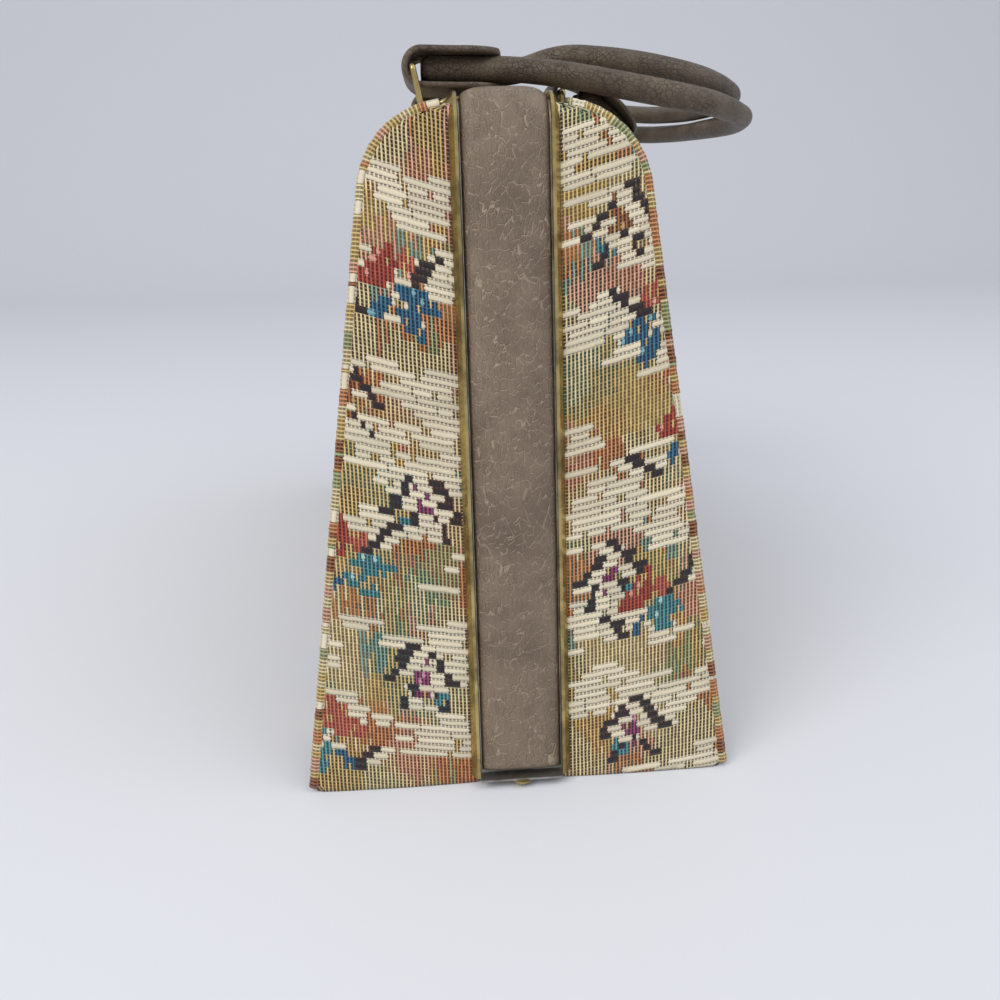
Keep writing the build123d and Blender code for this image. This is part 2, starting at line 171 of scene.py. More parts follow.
def new_group(name, inputs, outputs):
    """An empty node group with named sockets"""
    group = bpy.data.node_groups.new(name, "ShaderNodeTree")
    kinds = {"float": "NodeSocketFloat", "colour": "NodeSocketColor", "vector": "NodeSocketVector"}
    for label, kind in inputs:
        group.interface.new_socket(label, in_out="INPUT", socket_type=kinds[kind])
    for label, kind in outputs:
        group.interface.new_socket(label, in_out="OUTPUT", socket_type=kinds[kind])
    nodes = Nodes(group)
    start = nodes.add("NodeGroupInput")
    end = nodes.add("NodeGroupOutput")
    return group, nodes, start.outputs, end.inputs


def new_material(name):
    """A material with a Principled shader, and its nodes"""
    material = bpy.data.materials.new(name)
    material.use_nodes = True
    nodes = Nodes(material.node_tree)
    shader = material.node_tree.nodes["Principled BSDF"]
    return material, nodes, shader


def use_group(nodes, group, **values):
    """Place a shared group in a material, with its values by socket name"""
    node = nodes.add("ShaderNodeGroup", node_tree=group)
    nodes.fill(node.inputs, **values)
    return node.outputs


def bump(nodes, shader, height, distance, strength=1.0):
    node = nodes.add("ShaderNodeBump")
    nodes.fill(node.inputs, Strength=strength, Distance=distance, Height=height)
    nodes.join(node.outputs["Normal"], shader.inputs["Normal"])


# Shared effects

def weave_effect():
    """Round-ended floats of thick weft over thin warp threads, with dark gaps between the threads"""
    group, n, start, end = new_group(
        "Tapestry weave",
        [("Place", "vector"), ("Ground", "colour"), ("Thread", "colour"),
         ("Float", "float"), ("End", "float"), ("Wobble", "float")],
        [("Color", "colour"), ("Height", "float"), ("Roughness", "float")],
    )
    uneven = n.vector_math("SUBTRACT", n.noise(start["Place"], 0.45, 2.0, colour=True), (0.5, 0.5, 0.5))
    shifted = n.vector_math("MULTIPLY_ADD", uneven, start["Wobble"], start["Place"])
    split = n.add("ShaderNodeSeparateXYZ")
    n.join(shifted, split.inputs[0])
    across = n.math("FRACT", split.outputs["X"])
    up = n.math("FRACT", split.outputs["Y"])

    def off(value, line):
        return n.math("ABSOLUTE", n.math("SUBTRACT", value, line))

    off_warp = off(across, 0.5)
    off_weft = off(up, 0.45)
    fibre = n.noise(n.stretch(start["Place"], (2.0, 9.0, 1.0)), 1.6, 3.0)
    fine = n.noise(start["Place"], 5.0, 3.0)

    # Thin threads over the gaps
    warp = n.ramp(off_warp, 0.28, 0.14)
    high_line = n.ramp(off(up, 0.93), 0.10, 0.04)
    low_line = n.ramp(off(up, 0.42), 0.09, 0.03)
    line = n.math("MAXIMUM", high_line, n.math("MULTIPLY", low_line, 0.7))
    threads = n.math("MAXIMUM", warp, n.math("MULTIPLY", line, 0.7))
    gaps = n.scale(start["Ground"], n.ramp(fine, 0.3, 0.7, 0.5, 0.95))
    thin = n.mix(threads, gaps, start["Thread"])
    thin_lift = n.math("MULTIPLY", n.math("MAXIMUM", warp, line), 0.4)

    # Thick floats, narrowed to a round end in their first and last cells
    to_left = n.math("MULTIPLY", n.math("MAXIMUM", start["End"], 0.0), n.math("SUBTRACT", 1.0, across))
    right_end = n.math("MAXIMUM", n.math("MULTIPLY", start["End"], -1.0), 0.0)
    tip = n.math("ADD", to_left, n.math("MULTIPLY", right_end, across))
    room = n.math("MAXIMUM", n.math("SUBTRACT", 1.0, n.math("MULTIPLY", tip, tip)), 0.01)
    thickness = n.math("MULTIPLY", n.math("MAXIMUM", start["Float"], 0.1), 0.42)
    half_height = n.math("MULTIPLY", n.math("SQRT", room), thickness)
    body = n.ramp(n.math("SUBTRACT", off_weft, half_height), 0.03, -0.05)
    part = n.math("MINIMUM", n.math("DIVIDE", off_weft, half_height), 1.0)
    round_part = n.math("SUBTRACT", 1.0, n.math("MULTIPLY", part, part))
    crown = n.math("SQRT", n.math("MAXIMUM", round_part, 0.0))
    # Painted shade: crown_shade makes each float lighter along its crown and darker towards its edges, and
    # shade adds the fibre's own uneven tone to it
    crown_shade = n.math("MULTIPLY_ADD", crown, 0.32, 0.68)
    shade = n.math("MULTIPLY", n.ramp(fibre, 0.3, 0.7, 0.80, 1.06), crown_shade)
    shaded = n.scale(start["Thread"], shade)
    shown = n.math("MULTIPLY", n.math("GREATER_THAN", start["Float"], 0.5), body)

    height = n.add("ShaderNodeMix", data_type="FLOAT")
    n.join(shown, height.inputs[0])
    n.join(thin_lift, height.inputs[2])
    n.join(n.math("MULTIPLY_ADD", crown, 0.6, 0.4), height.inputs[3])
    raised = n.math("MULTIPLY_ADD", n.math("SUBTRACT", fibre, 0.5), 0.2, height.outputs[0])
    rough = n.math("MULTIPLY_ADD", fine, 0.25, 0.72)
    n.fill(end, Color=n.mix(shown, thin, shaded), Height=raised, Roughness=rough)
    return group


def grain_effect():
    """Leather's pebbles and creases, longer along one way"""
    group, n, start, end = new_group(
        "Leather grain",
        [("Place", "vector"), ("Stretch", "vector"), ("Depth", "float")],
        [("Crease", "float"), ("Height", "float"), ("Tone", "float")],
    )
    stretched = n.vector_math("MULTIPLY", start["Place"], start["Stretch"])
    wander = n.noise(stretched, 0.9, 2.0, colour=True)
    moved = n.vector_math("MULTIPLY_ADD", wander, (0.35, 0.35, 0.35), stretched)
    lines = []
    for scale, width in ((0.58, 0.085), (1.25, 0.08)):
        cell = n.add("ShaderNodeTexVoronoi", feature="DISTANCE_TO_EDGE")
        n.fill(cell.inputs, Vector=moved, Scale=scale)
        lines.append(n.ramp(cell.outputs["Distance"], 0.0, width, 1.0, 0.0))
    patches = n.ramp(n.noise(start["Place"], 0.12, 2.0), 0.35, 0.65)
    large_lines = n.math("MULTIPLY", lines[0], n.math("MULTIPLY_ADD", patches, 0.55, 0.45))
    fine_lines = n.math("MULTIPLY", lines[1], n.math("MULTIPLY_ADD", patches, 0.4, 0.1))
    crease = n.math("MAXIMUM", large_lines, fine_lines)
    pores = n.noise(start["Place"], 4.5, 3.0)
    height = n.math("MULTIPLY_ADD", crease, -1.0, n.math("MULTIPLY", pores, 0.25))
    tone = n.noise(start["Place"], 0.05, 4.0, 0.6)
    n.fill(end, Crease=crease, Height=n.math("MULTIPLY", height, start["Depth"]), Tone=tone)
    return group


def wear_effect():
    """Soft patches and fine scratches for old metal"""
    group, n, start, end = new_group(
        "Old metal",
        [("Place", "vector"), ("Patch Scale", "float")],
        [("Patches", "float"), ("Scratches", "float")],
    )
    patches = n.noise(n.scale(start["Place"], start["Patch Scale"]), 1.0, 5.0, 0.65)
    lines = n.noise(n.stretch(start["Place"], (6.0, 6.0, 0.4)), 1.0, 2.0)
    n.fill(end, Patches=n.ramp(patches, 0.35, 0.68), Scratches=n.ramp(lines, 0.55, 0.75))
    return group


WEAVE = weave_effect()
GRAIN = grain_effect()
OLD_METAL = wear_effect()


def tapestry_material():
    material, n, shader = new_material("Tapestry cloth")
    cell = n.add("ShaderNodeUVMap", uv_map="weave").outputs["UV"]
    ground = n.add("ShaderNodeAttribute", attribute_type="GEOMETRY", attribute_name="ground")
    thread = n.add("ShaderNodeAttribute", attribute_type="GEOMETRY", attribute_name="thread")
    woven = use_group(
        n, WEAVE, Place=cell, Ground=ground.outputs["Color"], Thread=thread.outputs["Color"],
        Float=thread.outputs["Alpha"], End=ground.outputs["Alpha"], Wobble=0.3,
    )
    soil = n.ramp(n.noise(n.place(), 0.025, 4.0, 0.6), 0.45, 0.75, 0.0, 0.18)
    colour = n.mix(soil, woven["Color"], srgb(150, 125, 90), "MULTIPLY")
    n.fill(
        shader.inputs, Base_Color=colour, Roughness=woven["Roughness"], Specular_IOR_Level=0.2,
        Sheen_Weight=0.25, Sheen_Roughness=0.5,
    )
    bump(n, shader, woven["Height"], 0.0007)
    return material


def leather_material(name, stretch, tone_light, tone_dark, crease_wear_and_shade_tone, depth, rough):
    material, n, shader = new_material(name)
    grain = use_group(n, GRAIN, Place=n.place(), Stretch=stretch, Depth=depth)
    base = n.mix(n.ramp(grain["Tone"], 0.35, 0.65), tone_dark, tone_light)
    # Creases take their own colour: paler on the band, as worn leather; darker on the straps and the base
    # tie, a painted shade in the creases
    worn_and_shaded_creases = n.mix(n.math("MULTIPLY", grain["Crease"], 0.7), base, crease_wear_and_shade_tone)
    rougher = n.math("MULTIPLY_ADD", grain["Crease"], 0.2, rough)
    n.fill(shader.inputs, Base_Color=worn_and_shaded_creases, Roughness=rougher, Specular_IOR_Level=0.45)
    bump(n, shader, grain["Height"], 0.0007)
    return material


def metal_material(name, bright, dull, patch_scale, rough):
    material, n, shader = new_material(name)
    old = use_group(n, OLD_METAL, Place=n.place(), Patch_Scale=patch_scale)
    worn = n.math("MULTIPLY_ADD", old["Patches"], 0.18, rough)
    scratched = n.math("MULTIPLY_ADD", old["Scratches"], 0.08, worn)
    tone = n.mix(old["Patches"], bright, dull)
    n.fill(shader.inputs, Base_Color=tone, Roughness=scratched, Metallic=1.0)
    bump(n, shader, old["Scratches"], 0.00002, 0.5)
    return material


def lining_material():
    material, n, shader = new_material("Lining cloth")
    place = n.place()
    fine = n.noise(n.stretch(place, (3.0, 3.0, 3.0)), 1.0, 2.0)
    faded = n.ramp(n.noise(place, 0.03, 3.0), 0.35, 0.7)
    tone = n.mix(faded, srgb(170, 152, 122), srgb(148, 130, 102))
    rough = n.math("MULTIPLY_ADD", fine, 0.2, 0.75)
    n.fill(shader.inputs, Base_Color=tone, Roughness=rough, Sheen_Weight=0.2)
    bump(n, shader, fine, 0.0001, 0.5)
    return material


TAPESTRY = tapestry_material()
BAND_LEATHER = leather_material(
    "Band leather", (0.44, 0.92, 0.44), srgb(126, 109, 92), srgb(104, 89, 74), srgb(170, 152, 130), 0.55, 0.30
)
# The strap's darker crease colour is a painted shade in the creases
STRAP_LEATHER = leather_material(
    "Strap leather", (0.9, 0.9, 0.9), srgb(104, 90, 72), srgb(84, 71, 57), srgb(62, 51, 41), 0.5, 0.44
)
# The base leather's darker crease colour is a painted shade in the creases
TIE_LEATHER = leather_material(
    "Base leather", (0.5, 0.8, 0.8), srgb(100, 86, 70), srgb(80, 67, 55), srgb(60, 50, 41), 0.6, 0.5
)
BRASS = metal_material("Aged brass", srgb(196, 174, 116), srgb(120, 104, 68), 0.07, 0.19)
STEEL = metal_material("Dull steel", srgb(178, 176, 172), srgb(128, 124, 118), 0.08, 0.34)
LINING = lining_material()


# Mesh building

def link(name, data):
    made = bpy.data.objects.new(name, data)
    bpy.context.collection.objects.link(made)
    return made


def make_piece(name, points, faces, body, material):
    """A mesh piece from points in millimetres that rides on a body"""
    mesh = bpy.data.meshes.new(name)
    mesh.from_pydata([(x * 0.001, y * 0.001, z * 0.001) for x, y, z in points], [], faces)
    mesh.update()
    mesh.shade_smooth()
    mesh.materials.append(material)
    piece = link(name, mesh)
    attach(piece, body)
    return piece


def thicken(piece, thickness, offset):
    solid = piece.modifiers.new("thickness", "SOLIDIFY")
    solid.thickness = thickness * 0.001
    solid.offset = offset


def sheet_faces(rows, columns, base=0):
    """The faces of a grid of points, row by row, that starts at a point's number"""
    faces = []
    for row in range(rows):
        for column in range(columns):
            a = base + row * (columns + 1) + column
            faces.append((a, a + 1, a + columns + 2, a + columns + 1))
    return faces


def half_name(side):
    return "back" if side > 0 else "front"


def half_place(side, depth):
    """The place across the bag of a depth in one half; the front half stands a little further out"""
    return side * (depth + (FRONT_SHIFT if side < 0 else 0))


def clean(piece, distance=0.00002):
    """Merge doubled points and make the faces point outwards"""
    tidy = bmesh.new()
    tidy.from_mesh(piece.data)
    bmesh.ops.remove_doubles(tidy, verts=tidy.verts, dist=distance)
    bmesh.ops.dissolve_degenerate(tidy, edges=tidy.edges, dist=distance)
    bmesh.ops.recalc_face_normals(tidy, faces=tidy.faces)
    tidy.to_mesh(piece.data)
    tidy.free()


def smooth_steps(x, y, seeds):
    """A slow wave over the cloth, for wear, puff and colour areas"""
    total = 0.0
    for a, b, c in seeds:
        total += math.sin(a * x + b * y + c)
    return total / len(seeds)


def random_waves(pick, count, x_rates, y_rates):
    """Waves for smooth_steps, with their rates drawn from two ranges"""
    return [(pick.uniform(*x_rates), pick.uniform(*y_rates), pick.uniform(0, 6)) for _ in range(count)]


# The weave's own pattern, worked out cell by cell

CREAM = srgb(232, 220, 192)
INK = srgb(50, 42, 44)
GROUNDS = {
    "bark": srgb(74, 52, 36),
    "russet": srgb(118, 62, 38),
    "wheat": srgb(126, 102, 64),
    "moss": srgb(78, 80, 48),
    "sea": srgb(50, 80, 76),
}
THREADS = {
    "straw": srgb(228, 210, 160),
    "ochre": srgb(216, 186, 120),
    "orange": srgb(212, 146, 96),
    "salmon": srgb(222, 172, 142),
    "moss": srgb(172, 176, 126),
    "sea": srgb(142, 172, 156),
}
THREAD_LEADS = {"straw": 0.34, "ochre": 0.16, "orange": 0.06, "salmon": 0.0, "moss": -0.06, "sea": -0.12}
GROUND_LEADS = {"bark": 0.16, "russet": 0.1, "wheat": 0.0, "moss": 0.0, "sea": 0.0}
PETALS = {
    "rust": (srgb(112, 34, 28), srgb(178, 84, 66), srgb(226, 160, 140)),
    "coral": (srgb(136, 52, 44), srgb(200, 116, 92), srgb(236, 184, 160)),
    "teal": (srgb(22, 78, 90), srgb(96, 152, 154), srgb(176, 214, 208)),
    "blue": (srgb(24, 50, 84), srgb(66, 118, 142), srgb(132, 178, 190)),
    "plum": (srgb(80, 28, 62), srgb(150, 76, 112), srgb(206, 146, 166)),
    "brown": (srgb(78, 46, 30), srgb(166, 108, 68), srgb(208, 164, 116)),
}


class Pattern:
    """A panel's grid of cells, each with a gap colour, a thread colour and whether a float lies over it"""

    def __init__(self, columns, rows, seed):
        self.columns, self.rows = columns, rows
        self.random = random.Random(seed)
        self.ground = np.zeros((rows, columns, 4), dtype=np.float32)
        self.thread = np.zeros((rows, columns, 4), dtype=np.float32)
        self.background()
        self.cream_floats()

    def paint(self, column, row, ground, thread, floating=0.0, end=0.0):
        column, row = int(column), int(row)
        if 0 <= column < self.columns and 0 <= row < self.rows:
            self.ground[row, column] = (*ground, end)
            self.thread[row, column] = (*thread, floating)

    def lay(self, column, row, length, thread):
        """One float over the cells that are there, round at both ends"""
        column, row = int(column), int(row)
        tone = self.random.uniform(0.86, 1.05)
        thickness = self.random.uniform(0.78, 1.0)
        for i in range(length):
            here = column + i
            if 0 <= here < self.columns and 0 <= row < self.rows:
                end = 1.0 if i == 0 else (-1.0 if i == length - 1 else 0.0)
                self.paint(here, row, self.ground[row, here][:3], [c * tone for c in thread], thickness, end)

    def waves(self, count, low, high):
        pick = self.random
        out = []
        for _ in range(count):
            size = pick.uniform(low, high)
            turn = pick.uniform(0, math.tau)
            out.append((size * math.cos(turn), size * math.sin(turn), pick.uniform(0, math.tau)))
        return out

    def background(self):
        tints = {name: self.waves(4, 0.06, 0.2) for name in THREADS}
        darks = {name: self.waves(4, 0.06, 0.2) for name in GROUNDS}
        for column in range(self.columns):
            own = {name: lead + self.random.uniform(-0.16, 0.16) for name, lead in THREAD_LEADS.items()}
            for row in range(self.rows):
                x, y = column * WARP_PITCH, row * WEFT_PITCH
                thread = max(THREADS, key=lambda name: smooth_steps(x, y, tints[name]) + own[name])
                x += self.random.uniform(-3, 3)
                ground = max(GROUNDS, key=lambda name: smooth_steps(x, y, darks[name]) + GROUND_LEADS[name])
                tone = self.random.uniform(0.8, 1.1)
                gap_colour = [c * tone for c in GROUNDS[ground]]
                self.paint(column, row, gap_colour, [c * tone for c in THREADS[thread]])

    def cream_floats(self):
        """Ragged zigzag bands of pale floats, row by row"""
        fields = self.waves(6, 0.08, 0.22)
        phase = self.random.uniform(0, 60)
        for row in range(self.rows):
            column = self.random.randint(0, 3)
            while column < self.columns:
                length = self.random.randint(4, 13)
                x, y = (column + length / 2) * WARP_PITCH, row * WEFT_PITCH
                fold = abs((x + phase) % 44 - 22)
                band = math.sin((y + 0.8 * fold + phase) * math.tau / 31)
                if smooth_steps(x, y, fields) + 0.42 * band + self.random.uniform(-0.16, 0.16) > 0.07:
                    self.lay(column, row, length, CREAM)
                column += length + self.random.choice((0, 1, 1, 2))

    def petal(self, x, y, length, width, turn, colour):
        """A stepped pointed oval with short pale floats along its lit side"""
        deep, thread, light = PETALS[colour]
        cos, sin = math.cos(turn), math.sin(turn)
        reach = int(length / WARP_PITCH) + 2
        c0, r0 = round(x / WARP_PITCH), round(y / WEFT_PITCH)
        for row in range(r0 - reach, r0 + reach + 1):
            for column in range(c0 - reach, c0 + reach + 1):
                dx, dy = (column - c0) * WARP_PITCH, (row - r0) * WEFT_PITCH
                along = (dx * cos + dy * sin) / (length / 2)
                across = (-dx * sin + dy * cos) / (width / 2)
                edge = 1 - along * along
                if edge <= 0 or abs(across) > edge * self.random.uniform(0.85, 1.1):
                    continue
                tone = self.random.uniform(0.8, 1.12)
                shown = THREADS["ochre"] if self.random.random() < 0.16 else thread
                self.paint(column, row, [c * tone for c in deep], [c * tone for c in shown])
                if 0 < across < 0.7 * edge and (column + row) % 3 == 0 and self.random.random() < 0.6:
                    self.lay(column, row, 2, light)

    def dashes(self, x, y, count, slide, length=4):
        """A stepped line of short dark floats with pale ones beside them, one pair to each row"""
        column, row = x / WARP_PITCH, round(y / WEFT_PITCH)
        for _ in range(count):
            run = length + self.random.randint(-1, 1)
            self.lay(column, row, run, INK)
            beside = column + run if slide > 0 else column - 4
            if self.random.random() < 0.7:
                self.lay(beside, row, 4, CREAM)
            row += 1
            column += slide + self.random.choice((-1, 0, 0, 1))

    def chevron(self, x, y, count, length=3):
        """Two stepped lines that meet at the top"""
        self.dashes(x - count * WARP_PITCH * 1.4, y - count * WEFT_PITCH, count, 1.4, length)
        self.dashes(x + count * WARP_PITCH * 1.4, y - count * WEFT_PITCH, count, -1.4, length)

    def blossom(self, x, y, colour, leaf, flip=1):
        """A small flower over leaves, with stepped dark outlines"""
        size = self.random.uniform(0.8, 1.05)
        lean = self.random.uniform(-0.25, 0.25)
        self.petal(x - 6 * flip * size, y + 3, 15 * size, 9 * size, 0.35 * flip + lean, colour)
        self.petal(x - 3 * flip * size, y + 9 * size, 14 * size, 8 * size, 1.2 * flip + lean, colour)
        self.petal(x + 4 * flip * size, y + 7 * size, 11 * size, 7 * size, 2.0 * flip + lean, "coral")
        self.petal(x + 8 * flip * size, y - 2, 16 * size, 8 * size, -0.25 * flip + lean, leaf)
        self.petal(x + 4 * flip * size, y - 9 * size, 15 * size, 7 * size, -0.8 * flip + lean, leaf)
        self.petal(x - 5 * flip * size, y - 8 * size, 9 * size, 5 * size, 0.9 * flip, "blue")
        self.dashes(x + 7 * flip, y + 3, 5, 1.6 * flip, 3)
        self.dashes(x - 10 * flip, y - 10, 4, -1.6 * flip, 3)

    def sprig(self, x, y, colour, flip=1):
        """A bud under a chevron of dark dashes"""
        self.petal(x, y - 4, 15, 8, 1.4 * flip, colour)
        self.petal(x + 5 * flip, y - 12, 11, 6, 0.9 * flip, "teal")
        self.chevron(x, y + 8, 6)
        self.chevron(x, y - 6, 4, 2)


def fill_pattern(columns, rows, seed, marks):
    pattern = Pattern(columns, rows, seed)
    for kind, x, y, colour, other, flip in marks:
        if kind == "blossom":
            pattern.blossom(x, y, colour, other, flip)
        else:
            pattern.sprig(x, y, colour, flip)
    return pattern


def scatter(width, height, seed):
    """Flowers and sprigs in staggered rows over a wide panel"""
    spread_x, spread_y = 62.0, 50.0
    pick = random.Random(seed)
    marks = []
    row = 0
    y = 24.0
    while y < height:
        x = -width / 2 + (row % 2) * spread_x / 2 + 18
        while x < width / 2:
            kind = pick.choice(("blossom", "blossom", "sprig"))
            colour = pick.choice(("rust", "coral")) if kind == "blossom" else "plum"
            other = pick.choice(("teal", "blue"))
            aside, lift = pick.uniform(-7, 7), pick.uniform(-6, 6)
            marks.append((kind, x + width / 2 + aside, y + lift, colour, other, pick.choice((1, -1))))
            x += spread_x * pick.uniform(0.85, 1.1)
        y += spread_y * pick.uniform(0.9, 1.05)
        row += 1
    return marks


def end_reach(height):
    return HALF_LENGTH - height * END_SLOPE


CORNER_DEPTH = (HALF_DEPTH - WALL_SLOPE * RIDGE_HEIGHT) / (1 - WALL_SLOPE * FALL_SLOPE)
CORNER_HEIGHT = RIDGE_HEIGHT - FALL_SLOPE * CORNER_DEPTH


def round_corner(before, corner, after, radius, steps):
    """Points of the arc that rounds a corner of a line"""
    corner = Vector(corner)
    back, on = (Vector(before) - corner).normalized(), (Vector(after) - corner).normalized()
    turn = math.pi - back.angle(on)
    reach = radius * math.tan(turn / 2)
    middle = corner + (back + on).normalized() * radius / math.cos(turn / 2)
    start = (corner + back * reach - middle).normalized()
    end = (corner + on * reach - middle).normalized()
    return [middle + start.slerp(end, i / steps) * radius for i in range(steps + 1)]


def fillet_line(points, radii, step=TUBE_STEP):
    """A line through the points with each corner rounded, as evenly spaced points"""
    spots = [Vector(p) for p in points]
    line = [spots[0]]
    for before, here, after, radius in zip(spots, spots[1:], spots[2:], radii):
        turn = math.pi - (before - here).angle(after - here)
        steps = max(4, int(radius * turn / step))
        line += round_corner(before, here, after, radius, steps)
    line.append(spots[-1])
    lengths = [0.0]
    for a, b in zip(line, line[1:]):
        lengths.append(lengths[-1] + (b - a).length)
    count = max(2, int(round(lengths[-1] / step)))
    out = []
    k = 0
    for i in range(count + 1):
        target = lengths[-1] * i / count
        while k < len(lengths) - 2 and lengths[k + 1] < target:
            k += 1
        part = (target - lengths[k]) / max(1e-9, lengths[k + 1] - lengths[k])
        out.append(line[k].lerp(line[k + 1], min(1.0, part)))
    return out


# The half section of a shell, from the rail over the shoulder and down to the floor
SECTION = fillet_line(
    [
        (SEAM_DEPTH, RIDGE_HEIGHT - SEAM_DEPTH * FALL_SLOPE, 0),
        (CORNER_DEPTH, CORNER_HEIGHT, 0),
        (HALF_DEPTH, 0, 0),
        (15.6, 0, 0),
    ],
    [SHOULDER_RADIUS, BASE_RADIUS],
    0.4,
)


def wall_depth(height):
    """The outer depth of a shell at a height, from its section"""
    best = None
    for a, b in zip(SECTION, SECTION[1:]):
        low, high = min(a.y, b.y), max(a.y, b.y)
        if low <= height <= high and high > low:
            part = (height - a.y) / (b.y - a.y)
            depth = a.x + (b.x - a.x) * part
            best = depth if best is None else max(best, depth)
    return best if best is not None else SEAM_DEPTH


DEPTHS_PER_MM = 4
DEPTHS = [wall_depth(step / DEPTHS_PER_MM) for step in range(int(SHELL_HEIGHT * DEPTHS_PER_MM) + 2)]


def quick_depth(height):
    return DEPTHS[min(len(DEPTHS) - 1, max(0, int(height * DEPTHS_PER_MM)))]


def weave_layers(mesh):
    """The weave's layers, fetched by name after all three exist, since each new one moves the others"""
    mesh.uv_layers.new(name="weave")
    for name in ("ground", "thread"):
        mesh.color_attributes.new(name, "FLOAT_COLOR", "CORNER")
    return mesh.uv_layers["weave"], mesh.color_attributes["ground"], mesh.color_attributes["thread"]


def cloth_piece(name, corner_points, pattern, body, thickness=0.9):
    """A sheet of woven cells: corner_points[row][column], one cell to each face, made solid"""
    rows, columns = pattern.rows, pattern.columns
    points = [p for line in corner_points for p in line]
    least_area = 0.02
    faces, cells = [], []
    for number, ring in enumerate(sheet_faces(rows, columns)):
        spots = [Vector(points[i]) for i in ring]
        if (spots[2] - spots[0]).cross(spots[3] - spots[1]).length / 2 > least_area:
            faces.append(ring)
            cells.append(divmod(number, columns))
    piece = make_piece(name, points, faces, body, TAPESTRY)
    mesh = piece.data
    weave, ground, thread = weave_layers(mesh)
    uv = np.zeros((len(mesh.loops), 2), dtype=np.float32)
    ground_values = np.zeros((len(mesh.loops), 4), dtype=np.float32)
    thread_values = np.zeros((len(mesh.loops), 4), dtype=np.float32)
    offsets = ((0, 0), (1, 0), (1, 1), (0, 1))
    for index, (row, column) in enumerate(cells):
        for k, (dc, dr) in enumerate(offsets):
            uv[index * 4 + k] = (column + dc, row + dr)
            ground_values[index * 4 + k] = pattern.ground[row, column]
            thread_values[index * 4 + k] = pattern.thread[row, column]
    weave.data.foreach_set("uv", uv.ravel())
    ground.data.foreach_set("color", ground_values.ravel())
    thread.data.foreach_set("color", thread_values.ravel())
    clean(piece)
    thicken(piece, thickness, -1.0)
    return piece


def puff(x, y, low_x, high_x, low_y, high_y, height):
    """How far padded cloth stands off its board, nothing at its seams"""
    a = max(0.0, min(1.0, (x - low_x) / (high_x - low_x)))
    b = max(0.0, min(1.0, (y - low_y) / (high_y - low_y)))
    return height * min(1.0, 4 * a * (1 - a)) ** 0.5 * min(1.0, 6 * b * (1 - b)) ** 0.5


def make_gusset(side, end, marks, seed):
    """The end wall of one half, its rows dipping towards the frame"""
    name = f"{half_name(side)}_gusset_{'right' if end > 0 else 'left'}"
    first_row = -6
    board_height = 236
    columns = int(GUSSET_WIDTH / WARP_PITCH)
    rows = int(board_height / WEFT_PITCH) - first_row
    pattern = fill_pattern(columns, rows, seed, marks)
    slant = math.cos(END_LEAN)
    ripple = pattern.waves(5, 0.05, 0.16)
    grid = []
    for row in range(rows + 1):
        line = []
        run = (row + first_row) * WEFT_PITCH
        dip = math.radians(8.0 + 8.0 * max(0.0, min(1.0, run / 170)))
        for column in range(columns + 1):
            across = SEAM_DEPTH + column * WARP_PITCH
            height = run * slant + (across - SEAM_DEPTH) * math.tan(dip) - 3.0
            height += 0.5 * smooth_steps(across, run, ripple)
            height = max(0.15, min(SHELL_HEIGHT, height))
            depth = min(across, quick_depth(height) - 0.4)
            stand = 0.25 + puff(depth, height, SEAM_DEPTH, quick_depth(height), -8, board_height, 1.5)
            stand += 0.25 * smooth_steps(depth, height, ripple)
            line.append((end * (end_reach(height) + stand), half_place(side, depth), height))
        grid.append(line)
    piece = cloth_piece(f"{name}_cloth", grid, pattern, f"{half_name(side)}_half")
    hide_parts(name)


def make_wrap(side, seed):
    """The cloth over one half's top, shoulder and wall, down to the floor edge"""
    name = half_name(side)
    runs = [0.0]
    for a, b in zip(SECTION, SECTION[1:]):
        runs.append(runs[-1] + (b - a).length)
    wall_run = max(r for r, p in zip(runs, SECTION) if p.y > 0.01 or p.x > HALF_DEPTH - 5)
    total = wall_run + 4
    rows = int(total / WEFT_PITCH)
    columns = int(2 * WRAP_REACH / WARP_PITCH)
    half = columns * WARP_PITCH / 2
    pattern = fill_pattern(columns, rows, seed, scatter(2 * half, rows * WEFT_PITCH, seed))
    ripple = pattern.waves(6, 0.02, 0.09)

    def spot(run):
        """The section's point at a run from the rail, and the way out from it"""
        lo, hi = 0, len(runs) - 1
        while hi - lo > 1:
            mid = (lo + hi) // 2
            if runs[mid] <= run:
                lo = mid
            else:
                hi = mid
        part = (run - runs[lo]) / max(1e-9, runs[hi] - runs[lo])
        point = SECTION[lo].lerp(SECTION[hi], min(1.0, part))
        ahead = (SECTION[hi] - SECTION[lo]).normalized()
        return point, Vector((-ahead.y, ahead.x, 0))

    grid = []
    for row in range(rows + 1):
        run = max(0.0, total - row * WEFT_PITCH)
        point, normal = spot(run)
        reach = end_reach(max(0.0, point.y)) + 0.1
        line = []
        for column in range(columns + 1):
            x = max(-reach, min(reach, -half + column * WARP_PITCH))
            stand = puff(x, run, -reach, reach, -10, total + 10, 1.3) + 0.2
            stand += 0.3 * smooth_steps(x, run, ripple)
            stand *= min(1.0, max(0.0, (point.y + 0.5) / 12))
            z = max(0.05, point.y + normal.y * stand)
            line.append((x, half_place(side, point.x + normal.x * stand), z))
        grid.append(line)
    piece = cloth_piece(f"{name}_panel_cloth", grid, pattern, f"{name}_half", 0.5)
    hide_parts(f"{name}_panel")


